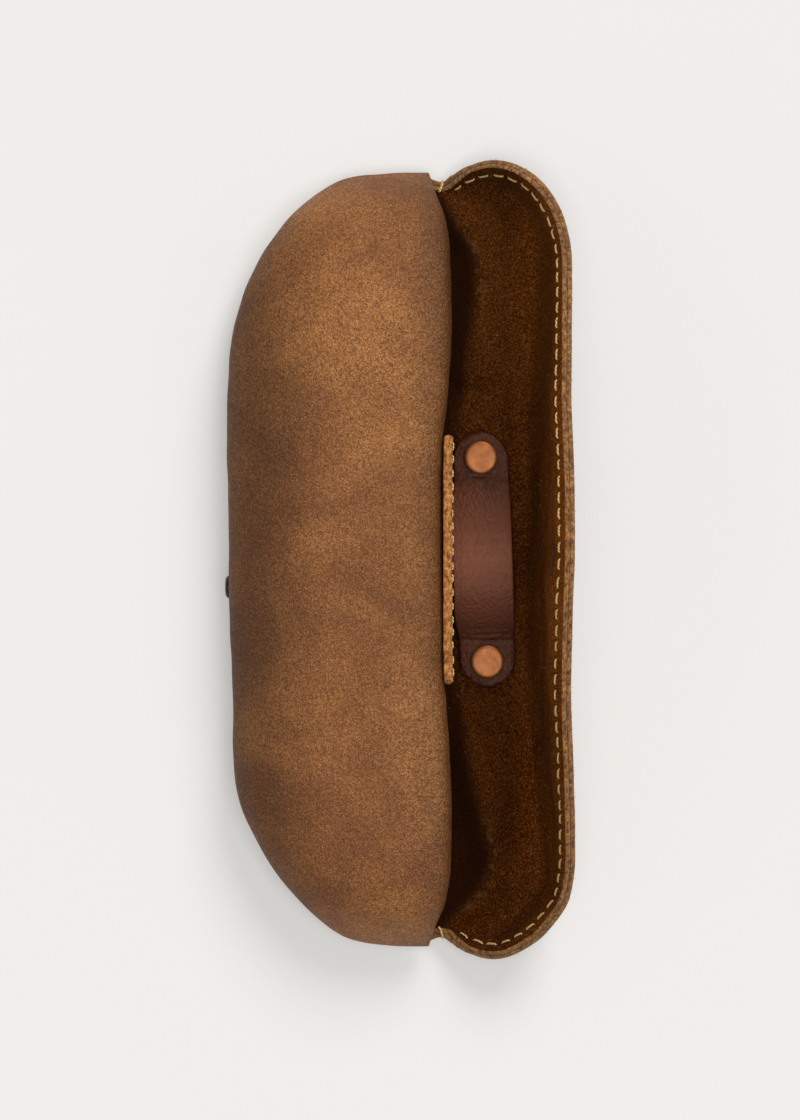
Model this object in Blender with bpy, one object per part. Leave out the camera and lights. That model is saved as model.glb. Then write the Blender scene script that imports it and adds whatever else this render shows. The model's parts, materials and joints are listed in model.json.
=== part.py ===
"""Leather eyeglasses case lying on its back: a domed pocket with a moulded flap, open.

X runs from the pocket's closed side towards the flap, Y runs along the case, and Z is up.
The origin is under the middle of the case, on the surface that it lies on.
Sizes below are in millimetres, and MM turns them into metres.
"""

import bpy
import bmesh
import numpy as np
from mathutils import Matrix

MM = 0.001

# Leather and the gap left between touching pieces.
LEATHER = 1.5
GAP = 0.34
CORE = LEATHER + GAP / 2
FLOOR_TOP = 2 * LEATHER + GAP

# Plan of the body: a D whose straight side is the mouth. The closed side is a little fuller at its +Y end.
HALF_LENGTH = 82.8
CLOSED_LINE = (
    (-3.7, 82.8), (-12.4, 80.9), (-21.0, 75.3), (-27.6, 66.8), (-33.0, 54.5), (-35.7, 41), (-35.8, 12),
    (-34.9, -28), (-33.9, -48.5), (-28.0, -62.3), (-20.6, -72.6), (-12.2, -80), (-3.7, -82.8),
)
PLATE_INSET = 0.9

# Front panel, measured on the middle of its leather.
DOME_HEIGHT = 18.9
DOME_END_POWER = 12
BELLY_TUCK = 3.0
LIP_RADIUS = 3.6
MOUTH_LINE = (
    (0, 9.3), (16, 9.3), (27, 9.35), (38, 10.3), (52, 11.1), (66, 10.9), (73, 9.7), (78, 7.5), (82.8, 6.3),
)

# The line that the flap folds about.
HINGE_X = 12.9
HINGE_Z = 8.6

# Flap: half of the plan of its rim, and the rim's height at each distance along it.
RIM_LINE = (
    (13.8, 81.5), (16.9, 83.1), (20.9, 83.7), (25.0, 82.3), (29.3, 78.8),
    (32.9, 73.3), (34.9, 66.5), (35.4, 58), (35.3, 30), (35.5, 0),
)
RIM_HEIGHTS = ((0, 6), (12, 12), (30, 22), (45, 30), (62, 36.5), (78, 42.4), (88, 45.3), (94, 46.3), (99, 46.4))
FLAP_ROOT_HALF = 78.0
WALL_SPREAD = 9.0
WALL_FLARE = 2.4
FLARE_HEIGHT = 5.0
SLIT_LENGTH = 8.0
SLIT_WIDTH = 1.0
SLIT_BELOW_RIM = 8.0

# Strap and its two rivets.
STRAP_HALF_LENGTH = 27.0
STRAP_HALF_WIDTH = 5.8
STRAP_X = 18.7
STRAP_SLANT = 0.7
STRAP_BOW = 3.9
RIVET_Y = 22.0
RIVET_HEAD_RADIUS = 3.65
RIVET_POST_RADIUS = 1.5
RIVET_HEAD_HEIGHT = 1.2
RIVET_BACK_RADIUS = 3.2
HOLE_CLEARANCE = 0.3

# Patch sewn on the lip of the pocket.
PATCH_HALF_LENGTH = 26.3
PATCH_X = 10.5
PATCH_LOW = 19.9
PATCH_HIGH = 22.1
PATCH_THICKNESS = 1.4

# Stud on the closed side.
STUD_Y = -5.9
STUD_Z = 6.6
STUD_HEAD_RADIUS = 2.4
STUD_NECK_RADIUS = 1.2

# Sewing thread.
THREAD_RADIUS = 0.28
SEAM_BELOW_RIM = 3.4


def clear_scene():
    for obj in list(bpy.data.objects):
        bpy.data.objects.remove(obj, do_unlink=True)


def material(name, colour, roughness, metallic=0.0):
    made = bpy.data.materials.new(name)
    made.use_nodes = True
    shader = made.node_tree.nodes["Principled BSDF"]
    shader.inputs["Base Color"].default_value = (*colour, 1.0)
    shader.inputs["Roughness"].default_value = roughness
    shader.inputs["Metallic"].default_value = metallic
    return made


def add_object(name, bm, finish=None, sharp_degrees=40):
    bm.normal_update()
    bmesh.ops.recalc_face_normals(bm, faces=bm.faces)
    mesh = bpy.data.meshes.new(name)
    bm.to_mesh(mesh)
    bm.free()
    if finish:
        mesh.materials.append(finish)
    mesh.shade_smooth()
    mesh.set_sharp_from_angle(angle=np.radians(sharp_degrees))
    obj = bpy.data.objects.new(name, mesh)
    bpy.context.scene.collection.objects.link(obj)
    return obj


def smooth_curve(points, count):
    """COUNT points, evenly spaced along a Catmull-Rom curve through POINTS."""
    points = np.asarray(points, float)
    padded = np.vstack([2 * points[0] - points[1], points, 2 * points[-1] - points[-2]])
    t = np.linspace(0, 1, 24, endpoint=False)[:, None]
    pieces = []
    for a, b, c, d in zip(padded, padded[1:], padded[2:], padded[3:]):
        curve = 2 * b + (c - a) * t + (2 * a - 5 * b + 4 * c - d) * t**2
        curve += (3 * b - a - 3 * c + d) * t**3
        pieces.append(curve / 2)
    dense = np.vstack([*pieces, points[-1:]])
    return even_points(dense, count)


def even_points(line, count):
    steps = np.linalg.norm(np.diff(line, axis=0), axis=1)
    along = np.concatenate([[0], np.cumsum(steps)])
    wanted = np.linspace(0, along[-1], count)
    return np.stack([np.interp(wanted, along, line[:, i]) for i in range(line.shape[1])], axis=1)


def grid_normals(grid):
    along_rows = np.gradient(grid, axis=0)
    along_columns = np.gradient(grid, axis=1)
    normals = np.cross(along_rows, along_columns)
    return normals / np.linalg.norm(normals, axis=2, keepdims=True)


def leather_sheet(name, grid, low, high, finish):
    """A closed sheet between the distances LOW and HIGH from the surface through the points of GRID."""
    rows, columns = grid.shape[:2]
    normals = grid_normals(grid)
    bm = bmesh.new()
    sides = []
    for distance in (low, high):
        points = (grid + normals * distance).reshape(-1, 3) * MM
        sides.append([bm.verts.new(point) for point in points])
    under, over = sides
    for row in range(rows - 1):
        for column in range(columns - 1):
            a = row * columns + column
            corners = (a, a + 1, a + columns + 1, a + columns)
            bm.faces.new([over[i] for i in corners])
            bm.faces.new([under[i] for i in reversed(corners)])
    top_left, top_right = 0, columns - 1
    bottom_right, bottom_left = rows * columns - 1, (rows - 1) * columns
    border = list(range(top_left, top_right))
    border += list(range(top_right, bottom_right, columns))
    border += list(range(bottom_right, bottom_left, -1))
    border += list(range(bottom_left, top_left, -columns))
    for a, b in zip(border, border[1:] + border[:1]):
        bm.faces.new([under[a], under[b], over[b], over[a]])
    return add_object(name, bm, finish)


def plate(name, outline, low, high, finish):
    """A flat plate whose plan is OUTLINE."""
    bm = bmesh.new()
    base = bm.faces.new([bm.verts.new((x * MM, y * MM, low * MM)) for x, y in outline])
    raised = bmesh.ops.extrude_face_region(bm, geom=[base])
    moved = [item for item in raised["geom"] if isinstance(item, bmesh.types.BMVert)]
    bmesh.ops.translate(bm, verts=moved, vec=(0, 0, (high - low) * MM))
    return add_object(name, bm, finish)


def turned(name, profile, centre, finish, axis="Z", segments=24):
    """A solid of revolution from (radius, height) pairs, standing on CENTRE along AXIS."""
    bm = bmesh.new()
    rings = []
    for radius, height in profile:
        if radius == 0:
            rings.append([bm.verts.new((0, 0, height * MM))])
            continue
        angles = np.linspace(0, 2 * np.pi, segments, endpoint=False)
        ring = [(radius * np.cos(t), radius * np.sin(t), height) for t in angles]
        rings.append([bm.verts.new(np.array(point) * MM) for point in ring])
    for low, high in zip(rings, rings[1:]):
        for i in range(segments):
            j = (i + 1) % segments
            if len(low) == 1:
                bm.faces.new([low[0], high[j], high[i]])
            elif len(high) == 1:
                bm.faces.new([low[i], low[j], high[0]])
            else:
                bm.faces.new([low[i], low[j], high[j], high[i]])
    for ring in (rings[0], rings[-1]):
        if len(ring) > 1:
            bm.faces.new(ring)
    obj = add_object(name, bm, finish, sharp_degrees=35)
    obj.location = [value * MM for value in centre]
    if axis == "-X":
        obj.rotation_euler = (0, -np.pi / 2, 0)
    return obj


def thread(name, points, finish):
    """A sewing thread as one round tube along POINTS."""
    curve = bpy.data.curves.new(name, "CURVE")
    curve.dimensions = "3D"
    curve.bevel_depth = THREAD_RADIUS * MM
    curve.bevel_resolution = 1
    curve.use_fill_caps = True
    spline = curve.splines.new("POLY")
    spline.points.add(len(points) - 1)
    for slot, point in zip(spline.points, points):
        slot.co = (*(point * MM), 1.0)
    curve.materials.append(finish)
    obj = bpy.data.objects.new(name, curve)
    bpy.context.scene.collection.objects.link(obj)
    return obj


def cut(target, cutter):
    cutter.hide_render = True
    cutter.display_type = "WIRE"
    hole = target.modifiers.new(cutter.name, "BOOLEAN")
    hole.operation = "DIFFERENCE"
    hole.solver = "EXACT"
    hole.object = cutter


def closed_line(inset, count):
    """COUNT points round the closed side from its +Y end, INSET inside the panel's middle surface."""
    line = smooth_curve(CLOSED_LINE, 300)
    along = np.gradient(line, axis=0)
    inward = np.stack([-along[:, 1], along[:, 0]], axis=1)
    inward /= np.linalg.norm(inward, axis=1, keepdims=True)
    return even_points(line + inward * inset, count)


def body_outline(inset):
    """The whole plan of the back, with the notch where the flap begins."""
    end = HALF_LENGTH - inset
    mouth = np.array([(HINGE_X - GAP / 2, end - 0.4), (9.2, end - 1.1), (5.2, end)])
    return np.vstack([mouth, closed_line(inset, 43), mouth[::-1] * (1, -1)])


def dome_section():
    """The front panel's section, as fractions of its width and height, from the seam to the lip."""
    width = MOUTH_LINE[0][1] - min(x for x, y in CLOSED_LINE)
    roll = LIP_RADIUS / width
    drop = LIP_RADIUS / DOME_HEIGHT
    points = [
        (BELLY_TUCK / width, 0.0), (0.6 / width, 0.16), (0.0, 0.32), (0.02, 0.46), (0.08, 0.63),
        (0.2, 0.81), (0.38, 0.94), (0.6, 1.0), (0.8, 1.01), (1 - roll, 1.0),
        (1 - 0.29 * roll, 1 - 0.29 * drop), (1.0, 1 - drop),
    ]
    return smooth_curve(points, 23)


def dome_grid():
    """The middle surface of the front panel."""
    section = dome_section()
    left, y = closed_line(0, 41)[::-1].T
    rise = 1 - (np.abs(y) / HALF_LENGTH) ** DOME_END_POWER
    right = np.interp(np.abs(y), *np.transpose(smooth_curve(MOUTH_LINE, 80)))
    base = FLOOR_TOP + 2 * GAP + LEATHER / 2 * (1 - rise)
    plain = np.linspace(0, 1, len(section))
    bulge = np.sqrt(rise)[:, None]
    share_across = bulge * section[:, 0] + (1 - bulge) * plain
    x = left[:, None] + (right - left)[:, None] * share_across
    z = base[:, None] + DOME_HEIGHT * rise[:, None] * section[:, 1]
    return np.stack([x, np.repeat(y[:, None], len(section), axis=1), z], axis=2)


def rim_points(count):
    half = smooth_curve(RIM_LINE, 60)
    whole = np.vstack([half, half[-2::-1] * (1, -1)])
    length = np.linalg.norm(np.diff(whole, axis=0), axis=1).sum()
    along = np.linspace(0, length, count)
    height = np.interp(np.minimum(along, length - along), *np.transpose(smooth_curve(RIM_HEIGHTS, 60)))
    return even_points(whole, count), height


def flap_rib(root, rim, height, steps):
    """Points from ROOT along the flat floor, round the bend and up the wall to the rim."""
    reach = np.linalg.norm(rim - root)
    rise = height - CORE
    spread = min(WALL_SPREAD, 0.8 * reach)
    flare = min(WALL_FLARE, 0.3 * spread)
    top = rise - min(FLARE_HEIGHT, 0.4 * rise)
    corners = np.array([(spread, 0), (0.35 * flare, 0), (flare, top), (0, rise)])
    t = np.linspace(0, 1, steps)[:, None]
    weights = np.hstack([(1 - t) ** 3, 3 * t * (1 - t) ** 2, 3 * t**2 * (1 - t), t**3])
    wall = weights @ corners
    from_rim = np.concatenate([np.linspace(reach, spread, 4)[:-1], wall[:, 0]])
    z = CORE + np.concatenate([np.zeros(3), wall[:, 1]])
    plan = rim + (root - rim) / reach * from_rim[:, None]
    return np.column_stack([plan, z])


def flap_grid(ribs=47, steps=12):
    """The surface between the flap's two layers, from the fold to the rim."""
    plan, height = rim_points(ribs)
    roots = np.linspace(FLAP_ROOT_HALF, -FLAP_ROOT_HALF, ribs)
    root_x = HINGE_X + GAP / 2
    starts = [np.array([root_x, y]) for y in roots]
    return np.array([flap_rib(start, rim, z, steps) for start, rim, z in zip(starts, plan, height)])


def distance_below_rim(grid, depth):
    """The point DEPTH below the rim on each rib, and the rib's normal there."""
    normals = grid_normals(grid)
    places = []
    for rib, normal in zip(grid, normals):
        steps = np.linalg.norm(np.diff(rib[::-1], axis=0), axis=1)
        along = np.concatenate([[0], np.cumsum(steps)])
        point = [np.interp(depth, along, rib[::-1][:, i]) for i in range(3)]
        facing = [np.interp(depth, along, normal[::-1][:, i]) for i in range(3)]
        places.append((point, facing))
    return np.array(places)


def make_back(tan, suede):
    plate("back_outer", body_outline(PLATE_INSET), 0, LEATHER, tan)
    plate("back_lining", body_outline(PLATE_INSET), LEATHER + GAP, FLOOR_TOP, suede)


def make_front(tan):
    return leather_sheet("front_panel", dome_grid(), -LEATHER / 2, LEATHER / 2, tan)


def make_patch(finish, thread_finish):
    bm = bmesh.new()
    bmesh.ops.create_cube(bm, size=1)
    size = (PATCH_THICKNESS, 2 * PATCH_HALF_LENGTH, PATCH_HIGH - PATCH_LOW)
    centre = (PATCH_X + PATCH_THICKNESS / 2, 0, (PATCH_HIGH + PATCH_LOW) / 2)
    for vert in bm.verts:
        vert.co = [(c + s * v) * MM for c, s, v in zip(centre, size, vert.co)]
    patch = add_object("label_patch", bm, finish)
    edge = patch.modifiers.new("edge", "BEVEL")
    edge.width = 0.3 * MM
    edge.segments = 2
    x = PATCH_X + PATCH_THICKNESS + GAP + THREAD_RADIUS
    ends = np.linspace(-PATCH_HALF_LENGTH + 2, PATCH_HALF_LENGTH - 2, 12)
    line = np.array([(x, y, PATCH_HIGH - 1.2) for y in ends])
    thread("label_thread", line, thread_finish)


def slit_cutter(name, grid):
    """A thin block through both layers at the middle of the flap, under its rim."""
    middle = distance_below_rim(grid, SLIT_BELOW_RIM)[len(grid) // 2]
    centre, facing = middle
    bm = bmesh.new()
    bmesh.ops.create_cube(bm, size=MM)
    lean = np.arctan2(facing[2], facing[0])
    for vert in bm.verts:
        through, along, up = np.array(vert.co) * (8, SLIT_LENGTH, SLIT_WIDTH)
        x = centre[0] * MM + through * np.cos(lean) - up * np.sin(lean)
        z = centre[2] * MM + through * np.sin(lean) + up * np.cos(lean)
        vert.co = (x, along, z)
    return add_object(name, bm)


def strap_grid():
    """The middle surface of the strap: flat under the rivets, bowed between them, with round ends."""
    y = STRAP_HALF_LENGTH * np.sin(np.linspace(-1, 1, 29) * np.pi / 2)
    end = np.clip((np.abs(y) - STRAP_HALF_LENGTH + STRAP_HALF_WIDTH) / STRAP_HALF_WIDTH, 0, 0.985)
    half_width = STRAP_HALF_WIDTH * np.sqrt(1 - end**2)
    share = np.clip(1 - np.abs(y) / (RIVET_Y - RIVET_HEAD_RADIUS - 0.6), 0, 1)
    bow = STRAP_BOW * np.clip(share**1.3 * (3 - 2 * share), 0, 1)
    z = FLOOR_TOP + GAP + LEATHER / 2 + bow
    across = np.linspace(-1, 1, 5)
    x = STRAP_X - STRAP_SLANT * y[:, None] / RIVET_Y + half_width[:, None] * across
    shape = x.shape
    return np.stack([x, np.broadcast_to(y[:, None], shape), np.broadcast_to(z[:, None], shape)], axis=2)


def rivet_places():
    for number, y in enumerate((RIVET_Y, -RIVET_Y), start=1):
        yield number, STRAP_X - STRAP_SLANT * y / RIVET_Y, y


def cylinder_cutter(name, x, y, radius, low, high):
    profile = ((radius, low), (radius, high))
    return turned(name, profile, (x, y, 0), None, segments=20)


def make_strap_and_rivets(strap_finish, copper, layers):
    strap = leather_sheet("strap", strap_grid(), -LEATHER / 2, LEATHER / 2, strap_finish)
    head_low = FLOOR_TOP + LEATHER + 2 * GAP
    back_top = 0.9
    post_low = back_top + GAP
    for number, x, y in rivet_places():
        head = head_low + RIVET_HEAD_HEIGHT
        profile = (
            (RIVET_POST_RADIUS, post_low), (RIVET_POST_RADIUS, head_low), (RIVET_HEAD_RADIUS, head_low),
            (RIVET_HEAD_RADIUS, head_low + 0.5), (RIVET_HEAD_RADIUS - 0.35, head - 0.3),
            (RIVET_HEAD_RADIUS - 1.2, head - 0.08), (0, head),
        )
        turned(f"rivet_cap_{number}", profile, (x, y, 0), copper)
        radius = RIVET_BACK_RADIUS
        back = ((radius, 0.1), (radius, back_top - 0.2), (radius - 0.3, back_top))
        turned(f"rivet_back_{number}", back, (x, y, 0), copper)
        hole = cylinder_cutter(f"rivet_hole_{number}", x, y, RIVET_POST_RADIUS + HOLE_CLEARANCE, -1, 8)
        sink_top = back_top + GAP
        sink = cylinder_cutter(f"rivet_sink_{number}", x, y, RIVET_BACK_RADIUS + HOLE_CLEARANCE, -1, sink_top)
        for layer in (strap, *layers):
            cut(layer, hole)
        cut(layers[0], sink)


def make_flap(tan, suede, thread_finish):
    grid = flap_grid()
    outer = leather_sheet("flap_outer", grid, -CORE, -GAP / 2, tan)
    lining = leather_sheet("flap_lining", grid, GAP / 2, CORE, suede)
    slit = slit_cutter("slit", grid)
    cut(outer, slit)
    cut(lining, slit)
    seam = distance_below_rim(grid, SEAM_BELOW_RIM)
    offset = CORE + GAP + THREAD_RADIUS
    for name, side in (("flap_thread_outside", -offset), ("flap_thread_inside", offset)):
        line = seam[2:-2, 0] + side * seam[2:-2, 1]
        thread(name, line, thread_finish)
    return outer, lining


def make_stud(metal, front):
    """The stud's head outside the front panel, its post, and its washer inside."""
    wall = dome_wall_x(STUD_Z)
    outside = wall - LEATHER / 2 - GAP
    head = (
        (STUD_NECK_RADIUS, -LEATHER - 2.3), (STUD_NECK_RADIUS, 0.5), (STUD_HEAD_RADIUS, 0.5),
        (STUD_HEAD_RADIUS, 0.95), (STUD_HEAD_RADIUS - 0.6, 1.35), (0, 1.5),
    )
    turned("stud_head", head, (outside, STUD_Y, STUD_Z), metal, axis="-X")
    washer = ((STUD_HEAD_RADIUS, 0), (STUD_HEAD_RADIUS, 0.8))
    inside = outside + LEATHER + 3 * GAP + 2.4
    turned("stud_back", washer, (inside, STUD_Y, STUD_Z), metal, axis="-X")
    hole = ((STUD_NECK_RADIUS + HOLE_CLEARANCE, -4), (STUD_NECK_RADIUS + HOLE_CLEARANCE, 3))
    cutter = turned("stud_hole", hole, (outside, STUD_Y, STUD_Z), None, axis="-X")
    cut(front, cutter)


def dome_wall_x(height):
    """Where the front panel's closed side stands at HEIGHT, beside the stud."""
    grid = dome_grid()
    row = grid[np.argmin(np.abs(grid[:, 0, 1] - STUD_Y)), :6]
    return float(np.interp(height, row[:, 2], row[:, 0]))


def make_body_thread(finish):
    """The thread that sews the two back layers and the front panel together, round the D."""
    spaced = closed_line(PLATE_INSET - GAP - THREAD_RADIUS - 0.05, 72)
    points = np.column_stack([spaced, np.full(len(spaced), CORE)])
    thread("body_thread", points, finish)


def hang_on_hinge(pieces):
    """Parents the flap's pieces to an empty on the line that it folds about, each staying in place."""
    hinge = bpy.data.objects.new("flap_hinge_axis", None)
    hinge.location = (HINGE_X * MM, 0, HINGE_Z * MM)
    bpy.context.scene.collection.objects.link(hinge)
    for piece in pieces:
        piece.parent = hinge
        piece.matrix_parent_inverse = Matrix.Translation(-hinge.location)


def main():
    clear_scene()
    tan = material("tan_leather", (0.30, 0.155, 0.065), 0.55)
    suede = material("suede", (0.16, 0.083, 0.03), 0.9)
    dark = material("dark_leather", (0.07, 0.028, 0.018), 0.4)
    patch = material("patch_leather", (0.42, 0.2, 0.07), 0.6)
    cotton = material("thread", (0.75, 0.5, 0.2), 0.7)
    copper = material("copper", (0.72, 0.33, 0.18), 0.35, 1.0)
    metal = material("stud_metal", (0.05, 0.045, 0.04), 0.35, 1.0)
    make_back(tan, suede)
    front = make_front(tan)
    make_patch(patch, cotton)
    make_stud(metal, front)
    make_body_thread(cotton)
    still = set(bpy.data.objects)
    layers = make_flap(tan, suede, cotton)
    make_strap_and_rivets(dark, copper, layers)
    hang_on_hinge(set(bpy.data.objects) - still)


main()
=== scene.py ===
"""A leather eyeglasses case lying open on its back, seen from straight above on a pale floor.

Lengths are in millimetres until a mesh is made.
X runs from the pocket towards the flap, Y along the case, and Z up.
"""

import json

import bpy
import numpy as np
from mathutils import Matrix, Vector


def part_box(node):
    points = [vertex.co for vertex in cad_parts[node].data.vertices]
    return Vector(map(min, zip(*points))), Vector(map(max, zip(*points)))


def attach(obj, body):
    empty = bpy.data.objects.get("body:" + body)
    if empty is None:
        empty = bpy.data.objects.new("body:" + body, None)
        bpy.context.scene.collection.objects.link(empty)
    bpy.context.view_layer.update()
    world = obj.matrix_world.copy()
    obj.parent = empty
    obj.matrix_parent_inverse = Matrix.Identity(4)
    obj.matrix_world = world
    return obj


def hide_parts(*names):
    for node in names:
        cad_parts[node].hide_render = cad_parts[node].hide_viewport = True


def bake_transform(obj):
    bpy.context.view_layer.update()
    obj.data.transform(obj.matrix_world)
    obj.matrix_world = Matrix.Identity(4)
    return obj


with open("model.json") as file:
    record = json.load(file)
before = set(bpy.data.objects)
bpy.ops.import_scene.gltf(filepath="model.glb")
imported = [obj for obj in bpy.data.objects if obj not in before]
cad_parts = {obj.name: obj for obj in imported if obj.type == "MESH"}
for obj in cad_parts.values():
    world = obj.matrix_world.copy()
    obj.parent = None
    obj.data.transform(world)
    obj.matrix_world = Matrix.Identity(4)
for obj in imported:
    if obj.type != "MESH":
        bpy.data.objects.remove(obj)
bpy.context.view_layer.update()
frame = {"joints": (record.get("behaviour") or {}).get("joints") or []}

MM = 0.001
HINGE = np.array(frame["joints"][0]["pos_m"]) / MM

# Leather layers, as distances from the surface between the outer leather and the lining.
OUTER = (-1.62, -0.06)
LINING = (0.06, 1.62)
CORE = 1.67
FLOOR_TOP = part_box("back_lining")[1].z / MM
LEATHER = 1.5
# The CAD model's gap between pieces that lie on each other.
GAP = 0.34
SHEET = (-LEATHER / 2, LEATHER / 2)
EDGE_STEPS = 5

# Plan of the pocket, close to the CAD model's: the closed side from its +Y end to its -Y end.
HALF_LENGTH = 82.8
CLOSED_LINE = (
    (-3.7, 82.8), (-13.1, 81.0), (-21.5, 75.5), (-27.7, 66.8), (-33.0, 54.5), (-35.7, 41), (-35.8, 12),
    (-34.9, -28), (-33.9, -48.5), (-28.2, -62.3), (-21.0, -72.9), (-13.2, -80.1), (-3.7, -82.8),
)
PLATE_INSET = 0.9
CORNER = (5.5, 81.9)

# Pocket panel.
DOME_HEIGHT = 18.9
DOME_END_POWER = 12
BELLY_TUCK = 3.0
LIP_RADIUS = 3.6
MOUTH_LINE = (
    (0, 8.95), (16, 8.95), (25, 9.1), (31, 9.75), (38, 10.3),
    (52, 11.1), (66, 10.9), (73, 9.7), (78, 7.9), (82.8, 6.7),
)

# Flap: half of the plan of its rim from the pocket's corner, and where its ribs leave the floor.
RIM_LINE = (
    CORNER, (8.4, 80.6), (10.6, 80.5), (12.8, 81.9), (15.9, 83.8), (20.5, 84.8), (25.5, 83.6), (30.5, 80.2),
    (34.2, 74.4), (36.0, 67.0), (36.1, 58), (35.8, 46), (35.3, 30), (35.5, 0),
)
ROOT_LINE = (CORNER, (9.0, 78.6), (12.4, 74.6), (13.1, 70), (13.1, 35), (13.1, 0))
RIM_HEIGHTS = (
    (0, 1.7), (4.5, 3.4), (9, 6), (21, 12), (39, 22),
    (54, 30), (71, 36.5), (88, 42.5), (99, 45.8), (106, 46.7), (112, 46.8),
)

# The rim's plan is moved outward all round, bulges on its long side, and is trimmed at its -Y corner.
# Its height waves a little, and the flap is slightly skewed.
RIM_OUTWARD = 0.45
RIM_BULGE = 0.8
RIM_BULGE_Y = 15
RIM_BULGE_LENGTH = 24
CORNER_TRIM = 0.9
CORNER_TRIM_Y = -72
RIM_WAVE = 0.35
FLAP_SKEW = 0.006

# The wall's bend starts WALL_SPREAD inside the rim, and FLARE_HEIGHT below the rim the wall stands
# about WALL_FLARE inside it. At mid-length it stands further in, so that the slit shows from above.
WALL_SPREAD = 9.0
WALL_FLARE = 2.4
FLARE_HEIGHT = 5.0
MIDDLE_FLARE = 3.0
MIDDLE_FLARE_HEIGHT = 7
MIDDLE_FLARE_LENGTH = 30

# Both layers get thinner over the last SKIVED_DEPTH to the rim, down to SKIVED_SHARE of their thickness.
SKIVED_SHARE = 0.7
SKIVED_DEPTH = 6.0
SEAM_BELOW_RIM = 2.6
SLIT_BELOW_RIM = 8.0
SLIT_LENGTH = 8.0

# The crease where the flap's floor drops into the pocket: X for each Y, and the crease's height for each Y.
CREASE = (
    (-82, 8.0), (-77, 12.5), (-71, 18.6), (-65, 20.6), (-58, 19.6), (-48, 17.2), (-38, 15.3), (-28, 13.6),
    (0, 12.4), (28, 13.4), (38, 15.0), (48, 16.4), (58, 17.8), (66, 17.2), (73, 13.2), (78, 10.2), (82, 8.0),
)
CREASE_HEIGHT = (
    (-82, 0), (-74, 2.4), (-62, 3.5), (-40, 3.0), (-29, 0),
    (29, 0), (42, 2.8), (60, 3.4), (72, 2.4), (81, 0),
)
CREASE_WIDTHS = (3.6, 7.5)

# A soft groove in the flap's floor: its plan line, depth and width.
GROOVE = ((31.0, -34.0), (27.6, -47.0), (24.4, -58.0), (22.4, -68.0))
GROOVE_DEPTH = 1.5
GROOVE_WIDTH = 2.6

# Strap and rivets.
STRAP_HALF_LENGTH = 27.0
STRAP_HALF_WIDTH = 5.8
STRAP_X = 18.7
STRAP_SLANT = 0.7
STRAP_BOW = 3.9
RIVET_Y = 22.0
RIVET_HEAD_RADIUS = 3.65
RIVET_POST_RADIUS = 1.5
RIVET_POST_DEPTH = 4.5
RIVET_HEAD_HEIGHT = 1.15

# Turned pieces: (radius, height) pairs. A profile stops this far from its axis.
ON_AXIS = 0.01
RIVET_BURR = ((ON_AXIS, 0.12), (2.9, 0.12), (3.15, 0.3), (3.15, 0.7), (2.9, 0.88), (ON_AXIS, 0.88))
STUD_WASHER = ((ON_AXIS, 0.02), (2.2, 0.02), (2.35, 0.2), (2.35, 0.6), (2.2, 0.78), (ON_AXIS, 0.78))
STUD_NECK_RADIUS = 1.15
STUD_HEAD_HEIGHT = 1.0

# Patch.
PATCH_HALF_THICKNESS = 0.95
PATCH_OFF_LIP = 1.1
PATCH_STITCH_LENGTH = 1.7
PATCH_STITCH_PITCH = 2.85
PATCH_THREAD_RADIUS = 0.16

# Camera and light, in metres.
CAMERA_PLACE = (0.00055, -0.0001, 2.2)
CAMERA_LENS = 326.9
SUN_DIRECTION = (-0.44, -0.93, -0.86)
SUN_DEGREES = 28

# Stitches.
STITCH_LENGTH = 2.3
STITCH_PITCH = 3.6
STITCH_RISE = 0.1
THREAD_RADIUS = 0.22


# ---------------------------------------------------------------- curves and grids

def smooth_curve(points, count):
    """COUNT points, evenly spaced along a Catmull-Rom curve through POINTS."""
    points = np.asarray(points, float)
    padded = np.vstack([2 * points[0] - points[1], points, 2 * points[-1] - points[-2]])
    t = np.linspace(0, 1, 32, endpoint=False)[:, None]
    pieces = []
    for a, b, c, d in zip(padded, padded[1:], padded[2:], padded[3:]):
        curve = 2 * b + (c - a) * t + (2 * a - 5 * b + 4 * c - d) * t**2
        curve += (3 * b - a - 3 * c + d) * t**3
        pieces.append(curve / 2)
    return even_points(np.vstack([*pieces, points[-1:]]), count)


def lengths_along(line):
    """The distance of each point from the line's start."""
    steps = np.linalg.norm(np.diff(line, axis=0), axis=1)
    return np.concatenate([[0], np.cumsum(steps)])


def values_at(line, values, wanted):
    """VALUES held at LINE's points, read at the distances WANTED along it."""
    along = lengths_along(line)
    return np.stack([np.interp(wanted, along, values[:, i]) for i in range(values.shape[1])], axis=-1)


def points_at(line, wanted):
    """The points at the distances WANTED along LINE."""
    return values_at(line, line, wanted)


def even_points(line, count):
    """COUNT points, evenly spaced along LINE."""
    return points_at(line, np.linspace(0, lengths_along(line)[-1], count))


def both_ends(half):
    """A half line that ends at Y = 0, with its mirror image joined on."""
    return np.vstack([half, half[-2::-1] * (1, -1)])


def ease(t):
    """0 up to T = 0, 1 from T = 1, and a smooth rise between them."""
    t = np.clip(t, 0, 1)
    return t * t * (3 - 2 * t)


def ripple(points, wavelength, seed, waves=9):
    """A smooth random field over POINTS, about -1 to 1."""
    random = np.random.default_rng(seed)
    directions = random.normal(size=(waves, points.shape[-1]))
    directions /= np.linalg.norm(directions, axis=1, keepdims=True)
    scales = 2 * np.pi / wavelength * random.uniform(0.6, 1.6, waves)
    phases = random.uniform(0, 2 * np.pi, waves)
    return np.sin(points @ (directions * scales[:, None]).T + phases).sum(-1) / np.sqrt(2 * waves)


def unit(vectors):
    """The vectors, made 1 long."""
    return vectors / np.maximum(np.linalg.norm(vectors, axis=-1, keepdims=True), 1e-9)


def grid_normals(grid):
    """The normal at each point of a grid of points."""
    return unit(np.cross(np.gradient(grid, axis=0), np.gradient(grid, axis=1)))


# ---------------------------------------------------------------- meshes

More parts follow.
